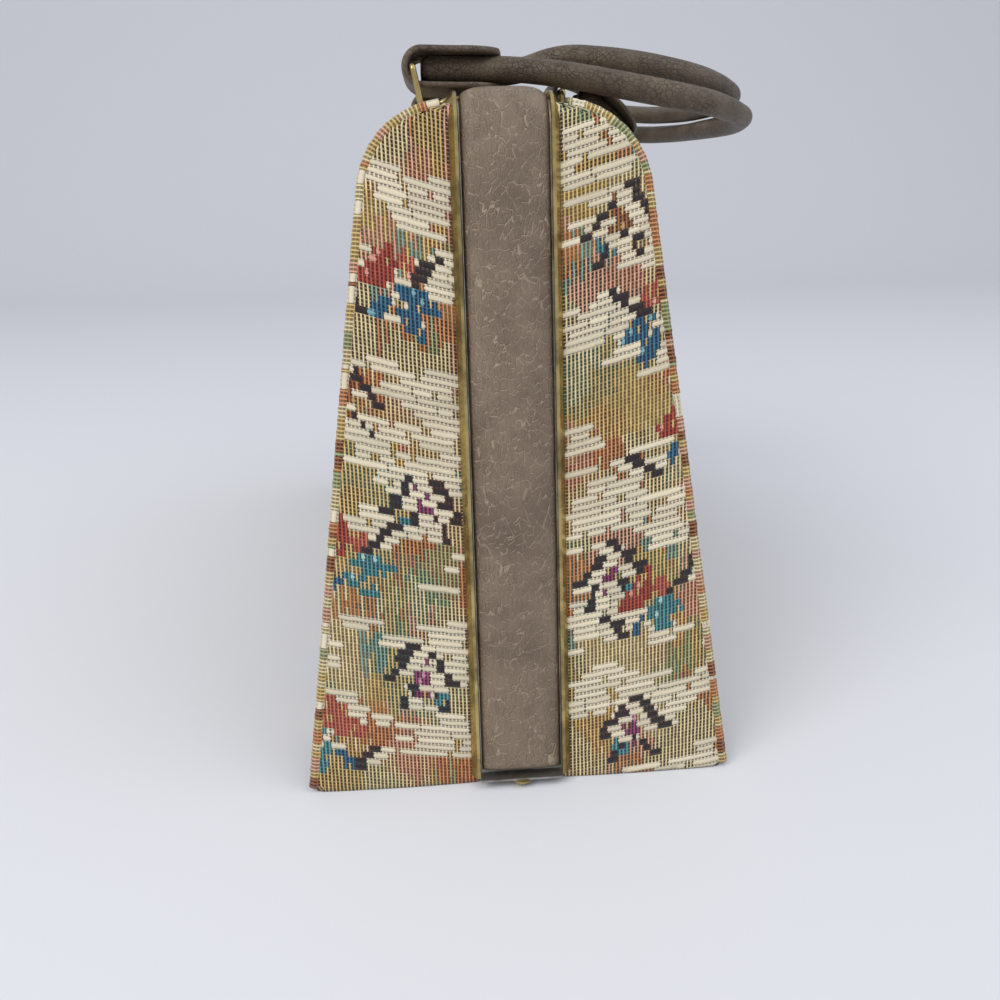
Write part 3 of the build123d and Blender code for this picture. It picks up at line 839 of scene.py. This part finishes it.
GUSSET_MARKS = {
    (-1, 1): [
        ("blossom", 20, 182, "rust", "blue", -1), ("sprig", 14, 118, "plum", "teal", 1),
        ("blossom", 40, 92, "rust", "teal", -1), ("sprig", 17, 58, "plum", "teal", -1),
        ("blossom", 50, 30, "coral", "teal", 1), ("sprig", 38, 150, "brown", "teal", 1),
    ],
    (1, 1): [
        ("blossom", 34, 168, "coral", "blue", -1), ("blossom", 42, 128, "rust", "teal", 1),
        ("sprig", 16, 92, "plum", "teal", 1), ("blossom", 30, 74, "rust", "teal", 1),
        ("sprig", 24, 36, "plum", "teal", -1), ("sprig", 20, 206, "brown", "teal", -1),
    ],
    (-1, -1): [
        ("blossom", 28, 196, "rust", "teal", 1), ("sprig", 36, 150, "plum", "teal", -1),
        ("blossom", 22, 110, "coral", "blue", 1), ("sprig", 44, 70, "brown", "teal", 1),
        ("blossom", 34, 36, "rust", "teal", -1),
    ],
    (1, -1): [
        ("sprig", 26, 200, "plum", "teal", 1), ("blossom", 30, 158, "rust", "blue", -1),
        ("sprig", 40, 116, "brown", "teal", 1), ("blossom", 26, 80, "coral", "teal", -1),
        ("blossom", 46, 34, "rust", "blue", 1),
    ],
}
for number, ((side, end), marks) in enumerate(GUSSET_MARKS.items()):
    make_gusset(side, end, marks, 40 + number)
for number, side in enumerate((1, -1)):
    make_wrap(side, 70 + number)


def tube_faces(rings, sides):
    faces = []
    for r in range(rings - 1):
        for s in range(sides):
            a, b = r * sides + s, r * sides + (s + 1) % sides
            faces.append((a, b, b + sides, a + sides))
    faces.append(tuple(range(sides))[::-1])
    faces.append(tuple((rings - 1) * sides + s for s in range(sides)))
    return faces


def tube_rings(path, sides, radius_at, up=Vector((0, 0, 1))):
    """Rings of points round a line, kept from twisting"""
    points = []
    side_way = None
    for i, spot in enumerate(path):
        ahead = (path[min(i + 1, len(path) - 1)] - path[max(i - 1, 0)]).normalized()
        if side_way is None:
            side_way = ahead.cross(up)
            if side_way.length < 0.01:
                side_way = ahead.cross(Vector((1, 0, 0)))
        side_way = (side_way - ahead * side_way.dot(ahead)).normalized()
        other = ahead.cross(side_way)
        for s in range(sides):
            turn = math.tau * s / sides
            radius = radius_at(i, turn)
            points.append(tuple(spot + side_way * radius * math.cos(turn) + other * radius * math.sin(turn)))
    return points


def make_piping(side, end, seed):
    """The welt along the seam between the end wall and the wrapped wall, in the same cloth"""
    name = f"{half_name(side)}_piping_{'right' if end > 0 else 'left'}"
    start = 19.9
    heights = [
        (start, RIDGE_HEIGHT - FALL_SLOPE * start), (CORNER_DEPTH, CORNER_HEIGHT),
        (HALF_DEPTH - WALL_SLOPE * PIPING_RADIUS, PIPING_RADIUS),
    ]
    line = fillet_line(
        [(end * end_reach(z), side * y, z) for y, z in heights], [SHOULDER_RADIUS], WARP_PITCH
    )
    pick = random.Random(seed)
    bumps = [pick.uniform(-1, 1) for _ in line]
    sides = 12

    def radius_at(i, turn):
        return PIPING_RADIUS + PIPING_SWELL + 0.2 * bumps[i] * math.cos(turn * 2 + i)

    rings = len(line)
    kinds = ("cream", "straw", "straw", "ochre", "ochre", "brown", "salmon", "moss", "orange")
    colours = []
    while len(colours) < rings:
        choice = pick.choice(kinds)
        colours += [choice] * pick.randint(1, 4)
    points = tube_rings(line, sides, radius_at)
    piece = make_piece(
        f"{name}_cord", points, tube_faces(rings, sides), f"{half_name(side)}_half", TAPESTRY
    )
    mesh = piece.data
    weave, ground, thread = weave_layers(mesh)
    for polygon in mesh.polygons:
        ring, spoke = divmod(polygon.index, sides)
        kind = colours[min(ring, rings - 1)]
        if kind == "cream":
            g, t, f = GROUNDS["bark"], CREAM, 1.0
        elif kind in PETALS:
            g, t, f = PETALS[kind][0], PETALS[kind][1], 0.0
        else:
            # Painted shade: in plain stretches the gaps are the thread's own colour darkened to 0.42, as
            # shade between the threads
            g, t, f = [c * 0.42 for c in THREADS[kind]], THREADS[kind], 0.0
        for k, loop in enumerate(polygon.loop_indices):
            du, dv = ((0, 0), (0, 1), (1, 1), (1, 0))[k % 4]
            weave.data[loop].uv = (ring + du, (spoke + dv) * 0.36)
            ground.data[loop].color = (*g, 0.0)
            thread.data[loop].color = (*t, f)
    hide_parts(name)


for number, (side, end) in enumerate(GUSSET_MARKS):
    make_piping(side, end, 90 + number)


# The insides and undersides

def make_lining(side):
    """The lining over the inside of one half: its top, shoulder, wall, floor and both ends"""
    name = half_name(side)
    ridge = RIDGE_HEIGHT - LINING_INSET
    corner_y = (HALF_DEPTH - LINING_INSET - WALL_SLOPE * ridge) / (1 - WALL_SLOPE * FALL_SLOPE)
    line = fillet_line(
        [
            (LINING_ROOT, ridge - FALL_SLOPE * LINING_ROOT, 0), (corner_y, ridge - FALL_SLOPE * corner_y, 0),
            (HALF_DEPTH - LINING_INSET * (1 + WALL_SLOPE), LINING_INSET, 0), (LINING_ROOT, LINING_INSET, 0),
        ],
        [SHOULDER_RADIUS - LINING_INSET, BASE_RADIUS], 4.0,
    )
    waves = random_waves(random.Random(110 + side), 5, (0.02, 0.08), (0.02, 0.1))
    across, inwards = 60, 8
    points = []
    for spot in line:
        reach = end_reach(spot.y) - LINING_INSET
        for j in range(across + 1):
            x = -reach + 2 * reach * j / across
            sag = 0.25 + 0.25 * smooth_steps(x, spot.x + spot.y, waves)
            y = half_place(side, max(LINING_ROOT, spot.x - sag))
            points.append((x, y, max(LINING_INSET, spot.y - 0.3 * sag)))
    faces = sheet_faces(len(line) - 1, across)
    for end in (1, -1):
        faces += sheet_faces(len(line) - 1, inwards, len(points))
        for spot in line:
            reach = end_reach(spot.y) - LINING_INSET
            for k in range(inwards + 1):
                y = LINING_ROOT + (spot.x - LINING_ROOT) * (1 - k / inwards)
                points.append((end * reach, half_place(side, y), spot.y))
    piece = make_piece(f"{name}_lining_cloth", points, faces, f"{name}_half", LINING)
    clean(piece, 0.0001)
    thicken(piece, 0.5, 0.0)
    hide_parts(f"{name}_lining")


def make_bottom(side):
    """The cloth under one half's base board"""
    name = half_name(side)
    near = 15.4 if side > 0 else 18.2
    columns, rows = int(2 * BOTTOM_REACH / WARP_PITCH), int((BOTTOM_DEPTH - near) / WEFT_PITCH)
    half = columns * WARP_PITCH / 2
    pattern = Pattern(columns, rows, 120 + side)
    grid = [
        [(-half + c * WARP_PITCH, side * (near + r * WEFT_PITCH), 0.15) for c in range(columns + 1)]
        for r in range(rows + 1)
    ]
    piece = cloth_piece(f"{name}_bottom_cloth", grid, pattern, f"{name}_half", 2.6)
    piece.modifiers["thickness"].offset = -1.0 if piece.data.polygons[0].normal.z < 0 else 1.0
    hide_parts(f"{name}_bottom")


for side in (1, -1):
    make_lining(side)
    make_bottom(side)
# The leather band

def frame_line():
    """The frame's line at the shells' outer faces, between the feet of the leather band"""
    foot, top = end_reach(BAND_FOOT), end_reach(SHELL_HEIGHT)
    corners = [(foot, 0, BAND_FOOT), (top, 0, SHELL_HEIGHT), (-top, 0, SHELL_HEIGHT), (-foot, 0, BAND_FOOT)]
    return fillet_line(corners, [FRAME_CORNER, FRAME_CORNER], BAND_STEP)


def make_band():
    """Padded leather between the two rails, crowned and with soft edges"""
    line = frame_line()
    waves = random_waves(random.Random(5), 6, (0.02, 0.12), (0.1, 0.5))
    back_rise, back_inset = 1.2, 0.3
    edge_rise = 1.3
    profile = []
    across_steps = 28
    for i in range(across_steps + 1):
        t = -1 + 2 * i / across_steps
        edge = (1 - abs(t) ** 5) ** 0.5 if abs(t) < 1 else 0.0
        profile.append((BAND_HALF_WIDTH * t, edge_rise + 2.6 * edge + 1.3 * (1 - t ** 4)))
    width = across_steps + 1
    points, back_points = [], []
    count = len(line)
    for i, spot in enumerate(line):
        ahead = (line[min(i + 1, count - 1)] - line[max(i - 1, 0)]).normalized()
        out = Vector((0, 1, 0)).cross(ahead)
        if out.dot(spot - Vector((0, 0, 100))) < 0:
            out = -out
        end_fade = min(1.0, min(i, count - 1 - i) / 1.5)
        end_round = math.sqrt(max(0.0, 1 - (1 - end_fade) ** 2)) * 0.55 + 0.45
        for y, rise in profile:
            wave = 0.16 * smooth_steps(y, i * BAND_STEP, waves)
            lift = edge_rise + (rise - edge_rise) * end_round + wave * (rise - edge_rise) / 4
            points.append(tuple(spot + Vector((0, y, 0)) + out * lift))
        for y in (-BAND_HALF_WIDTH + back_inset, BAND_HALF_WIDTH - back_inset):
            back_points.append(tuple(spot + Vector((0, y, 0)) + out * back_rise))
    base = len(points)
    points += back_points
    faces = sheet_faces(count - 1, across_steps)
    for i in range(count - 1):
        b = base + 2 * i
        faces.append((b, b + 1, b + 3, b + 2))
        faces.append((b, b + 2, (i + 1) * width, i * width))
        faces.append((b + 1, i * width + width - 1, (i + 1) * width + width - 1, b + 3))
    for i in (0, count - 1):
        b = base + 2 * i
        faces.append((b, b + 1, *[i * width + k for k in range(width - 1, -1, -1)]))
    piece = make_piece("leather_band_cover", points, faces, "back_half", BAND_LEATHER)
    clean(piece)
    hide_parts("leather_band")


make_band()
# Handles

def soft_radii(points):
    spots = [Vector(p) for p in points]
    radii = []
    for before, here, after in zip(spots, spots[1:], spots[2:]):
        turn = (here - before).angle(after - here)
        run = min((here - before).length, (after - here).length)
        radii.append(0.45 * run / math.tan(turn / 2))
    return radii


FRONT_ROUTES = {
    "outer": [
        (8.0, 7.0, -0.12), (8.9, 34.0, -0.6), (16.5, 51.0, -3.2), (21.0, 75.0, -8.0),
        (14.5, 101.0, -11.8), (-8.5, 121.0, -14.7), (-45.5, 130.5, -15.6),
    ],
    "inner": [
        (-8.0, 7.0, -0.12), (-7.5, 35.0, -0.62), (-4.0, 52.0, 4.8), (2.5, 76.0, 1.8),
        (-0.5, 100.0, -2.4), (-21.5, 120.0, -5.8), (-54.5, 129.5, -7.0),
    ],
}


def make_strand(name, line, body, seed):
    """A rolled leather tube: nearly round, with a sewn ridge along its underside and small dents"""
    waves = random_waves(random.Random(seed), 5, (0.3, 1.2), (-0.25, 0.25))
    sides = 24

    def radius_at(i, turn):
        wobble = 0.10 * math.sin(2 * turn + i * 0.09) + 0.08 * smooth_steps(turn * 2, i, waves)
        ridge = 0.35 * math.exp(-((turn - math.pi * 1.5) / 0.16) ** 2)
        fade = min(1.0, 0.55 + min(i, len(line) - 1 - i) * 0.25)
        return (STRAND_RADIUS - 0.05 + wobble + ridge) * fade

    points = tube_rings(line, sides, radius_at)
    piece = make_piece(f"{name}_tube", points, tube_faces(len(line), sides), body, STRAP_LEATHER)
    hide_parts(name)


for number, (word, route) in enumerate(FRONT_ROUTES.items()):
    inside_fold = (route[0][0], TUBE_START, 0.0)
    half = [(FRONT_TAB + x, y + FRONT_BAR[0], z + FRONT_BAR[1]) for x, y, z in [inside_fold] + route]
    points = half + [(-x, y, z) for x, y, z in reversed(half)]
    make_strand(f"front_strand_{word}", fillet_line(points, soft_radii(points)), "front_handle", 20 + number)

# The back handle hangs round the shoulder, on arcs about the shoulder's middle
ROOT_DEPTH = HALF_DEPTH - SHOULDER_RADIUS / math.cos(WALL_LEAN)
ROOT_HEIGHT = RIDGE_HEIGHT - SHOULDER_RADIUS / math.cos(TOP_FALL)
SHOULDER_Y = (ROOT_DEPTH - WALL_SLOPE * ROOT_HEIGHT) / (1 - WALL_SLOPE * FALL_SLOPE)
SHOULDER_Z = ROOT_HEIGHT - FALL_SLOPE * SHOULDER_Y
STRAND_LINE = math.hypot(BACK_BAR[0] - SHOULDER_Y, BACK_BAR[1] - SHOULDER_Z)
BAR_ANGLE = math.atan2(BACK_BAR[1] - SHOULDER_Z, BACK_BAR[0] - SHOULDER_Y)
HANG_ANGLE = math.radians(11.0)


def on_arc(radius, run):
    angle = BAR_ANGLE - run / STRAND_LINE
    return (SHOULDER_Y + radius * math.cos(angle), SHOULDER_Z + radius * math.sin(angle))


BACK_STRANDS = (("outer", 6.5, 91.0, 52.0), ("inner", -6.5, 82.0, 39.0))
for number, (word, shift, drop, corner) in enumerate(BACK_STRANDS):
    x = BACK_TAB + shift
    start_run = 7
    hang_run = STRAND_LINE * (BAR_ANGLE - HANG_ANGLE)
    steps = 24
    leg = [
        Vector((x, *on_arc(STRAND_LINE, start_run + (hang_run - start_run) * i / steps)))
        for i in range(steps)
    ]
    down = Vector((0, math.sin(HANG_ANGLE), -math.cos(HANG_ANGLE))) * drop
    start = Vector((0, *on_arc(STRAND_LINE, hang_run)))
    near, far = start + Vector((x, 0, 0)), start + Vector((-x, 0, 0))
    loop = fillet_line([near, near + down, far + down, far], [corner, corner])
    other = [Vector((-p.x, p.y, p.z)) for p in reversed(leg)]
    make_strand(f"back_strand_{word}", leg + loop + other, "back_handle", 30 + number)


def half_width(from_tip):
    """The tab's half width at a run back from its rounded tip"""
    if from_tip >= TIP_RADIUS:
        return TAB_WIDTH / 2
    inside = TIP_RADIUS - from_tip
    return TAB_WIDTH / 2 - TIP_RADIUS + math.sqrt(max(0.0, TIP_RADIUS ** 2 - inside ** 2))


def make_tab(name, offset, path, body, seed, swell=0.0):
    """A folded strap end; path is its middle line, tip to tip, as (depth, height) points, and swell
    thickens its outside"""
    waves = random_waves(random.Random(seed), 5, (0.15, 0.5), (0.1, 0.4))
    runs = [0.0]
    for a, b in zip(path, path[1:]):
        runs.append(runs[-1] + math.hypot(b[0] - a[0], b[1] - a[1]))
    across = 22
    points = []
    count = len(path)
    for layer in (1, -1):
        for i, (y, z) in enumerate(path):
            before, after = path[max(0, i - 1)], path[min(count - 1, i + 1)]
            ahead = Vector((0, after[0] - before[0], after[1] - before[1])).normalized()
            out = Vector((1, 0, 0)).cross(ahead)
            from_tip = min(runs[i], runs[-1] - runs[i])
            wide = half_width(from_tip) - 0.15
            tip_round = min(1.0, 0.55 + from_tip * 0.5)
            half_sheet = TAB_SHEET / 2 - 0.05 + (swell if layer < 0 else 0)
            for k in range(across + 1):
                t = -1 + 2 * k / across
                inset = (1 - max(0.0, abs(t) - 0.86) / 0.14 * 0.35)
                wave = 0.10 * smooth_steps(t * 14, runs[i], waves)
                push = layer * half_sheet * inset * tip_round + wave
                points.append(tuple(Vector((offset + t * wide, y, z)) + out * push))
    width = across + 1
    block = count * width
    faces = sheet_faces(count - 1, across)
    faces += [(ring[0], *ring[:0:-1]) for ring in sheet_faces(count - 1, across, block)]
    for i in range(count - 1):
        for k in (0, across):
            a = i * width + k
            faces.append((a, a + width, a + width + block, a + block))
    for i in (0, count - 1):
        for k in range(across):
            a = i * width + k
            faces.append((a, a + 1, a + 1 + block, a + block))
    piece = make_piece(f"{name}_strap", points, faces, body, STRAP_LEATHER)
    clean(piece)
    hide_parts(name)


def folded_leaf():
    """A strap folded round the bar, as (along, off) points from one tip to the other"""
    straight = 3.0
    flat = [(TAB_LENGTH - i * 0.9, LEAF_MIDDLE) for i in range(30)] + [(straight, LEAF_MIDDLE)]
    fold = [
        (straight - LEAF_MIDDLE * math.sin(math.pi * i / 20), LEAF_MIDDLE * math.cos(math.pi * i / 20))
        for i in range(1, 20)
    ]
    return flat + fold + [(a, -n) for a, n in reversed(flat)]


def front_tab_path():
    dip = math.radians(1.0)
    along, up = (math.cos(dip), -math.sin(dip)), (math.sin(dip), math.cos(dip))
    return [
        (FRONT_BAR[0] + a * along[0] + n * up[0], FRONT_BAR[1] + a * along[1] + n * up[1])
        for a, n in folded_leaf()
    ]


def back_tab_path():
    return [on_arc(STRAND_LINE + n, a) for a, n in folded_leaf()]


for end, word in ((1, "right"), (-1, "left")):
    make_tab(f"front_tab_{word}", end * FRONT_TAB, front_tab_path(), "front_handle", 50 + end, 0.7)
    make_tab(f"back_tab_{word}", end * BACK_TAB, back_tab_path(), "back_handle", 60 + end)

# The metal and the base leather keep the solids' own shapes
CARRIED = {
    BRASS: ["front_rail", "back_rail", "frame_feet", "front_clasp_post", "back_clasp_post",
            "front_bail_right", "front_bail_left", "back_bail_right", "back_bail_left"],
    STEEL: ["frame_channel", "back_hinge_leaf", "front_hinge_leaf", "hinge_pin",
            "front_handle_plates", "back_handle_plates"],
    TIE_LEATHER: ["base_tie"],
}
for material, names in CARRIED.items():
    for name in names:
        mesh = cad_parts[name].data
        mesh.materials.clear()
        mesh.materials.append(material)

# Floor, light and camera

def make_backdrop():
    """A pale floor that curves up into a wall behind the bag"""
    bend, back, wide, tall, steps = 0.8, -1.2, 3.5, 3.0, 16
    line = [(3.0, 0.0), (back, 0.0)]
    for i in range(1, steps + 1):
        turn = math.pi / 2 * i / steps
        line.append((back - bend * math.sin(turn), bend - bend * math.cos(turn)))
    line.append((back - bend, tall))
    points = [(x, y, z) for x, z in line for y in (-wide, wide)]
    faces = [(2 * i, 2 * i + 1, 2 * i + 3, 2 * i + 2) for i in range(len(line) - 1)]
    mesh = bpy.data.meshes.new("backdrop")
    mesh.from_pydata(points, [], faces)
    mesh.shade_smooth()
    material, n, shader = new_material("Pale backdrop")
    pale = (*srgb(214, 216, 222), 1.0)
    n.fill(shader.inputs, Base_Color=pale, Roughness=0.9, Specular_IOR_Level=0.1)
    mesh.materials.append(material)
    link("backdrop", mesh)


def add_light(name, place, size, power, colour):
    """A round lamp that points a little below the bag's middle"""
    data = bpy.data.lights.new(name, "AREA")
    data.shape = "DISK"
    data.size = size
    data.energy = power
    data.color = colour
    lamp = link(name, data)
    lamp.location = place
    lamp.rotation_euler = (Vector((0, 0, 0.1)) - Vector(place)).to_track_quat("-Z", "Y").to_euler()


make_backdrop()
add_light("window", (0.9, -1.0, 1.3), 1.2, 15.0, (1.0, 0.985, 0.96))
add_light("sky", (0.4, 0.9, 1.4), 1.6, 8.0, (0.95, 0.97, 1.0))

# The world lights the bag softly, and the camera and reflections see it as a pale grey
world = bpy.data.worlds.new("studio")
bpy.context.scene.world = world
world.use_nodes = True
sky = Nodes(world.node_tree)
soft_light = world.node_tree.nodes["Background"]
sky.fill(soft_light.inputs, Color=(0.93, 0.94, 0.96, 1.0), Strength=0.72)
seen = sky.add("ShaderNodeBackground")
sky.fill(seen.inputs, Color=(*srgb(208, 211, 218), 1.0))
rays = sky.add("ShaderNodeLightPath").outputs
reflected = sky.math("MAXIMUM", rays["Is Glossy Ray"], rays["Is Transmission Ray"])
chosen = sky.add("ShaderNodeMixShader")
for source, socket in (
    (sky.math("MAXIMUM", rays["Is Camera Ray"], reflected), chosen.inputs[0]),
    (soft_light.outputs[0], chosen.inputs[1]),
    (seen.outputs[0], chosen.inputs[2]),
    (chosen.outputs[0], world.node_tree.nodes["World Output"].inputs["Surface"]),
):
    sky.join(source, socket)

# The camera that fits the photograph
camera_data = bpy.data.cameras.new("camera")
camera = link("camera", camera_data)
bpy.context.scene.camera = camera
camera_data.sensor_width = 36.0
camera_data.lens = camera_data.sensor_width * 0.8566
camera_data.clip_start, camera_data.clip_end = 0.01, 20.0
yaw, pitch, roll = math.radians(-4.16), math.radians(20.65), math.radians(-0.96)
ahead = Vector((-math.cos(yaw) * math.cos(pitch), -math.sin(yaw) * math.cos(pitch), -math.sin(pitch)))
right = Vector((-math.sin(yaw), math.cos(yaw), 0))
up = right.cross(ahead)
turned_right = right * math.cos(roll) + up * math.sin(roll)
turned_up = up * math.cos(roll) - right * math.sin(roll)
camera.matrix_world = Matrix((
    (turned_right.x, turned_up.x, -ahead.x, 0.4171),
    (turned_right.y, turned_up.y, -ahead.y, -0.0244),
    (turned_right.z, turned_up.z, -ahead.z, 0.2017),
    (0, 0, 0, 1),
))
bpy.context.scene.view_settings.view_transform = "Standard"
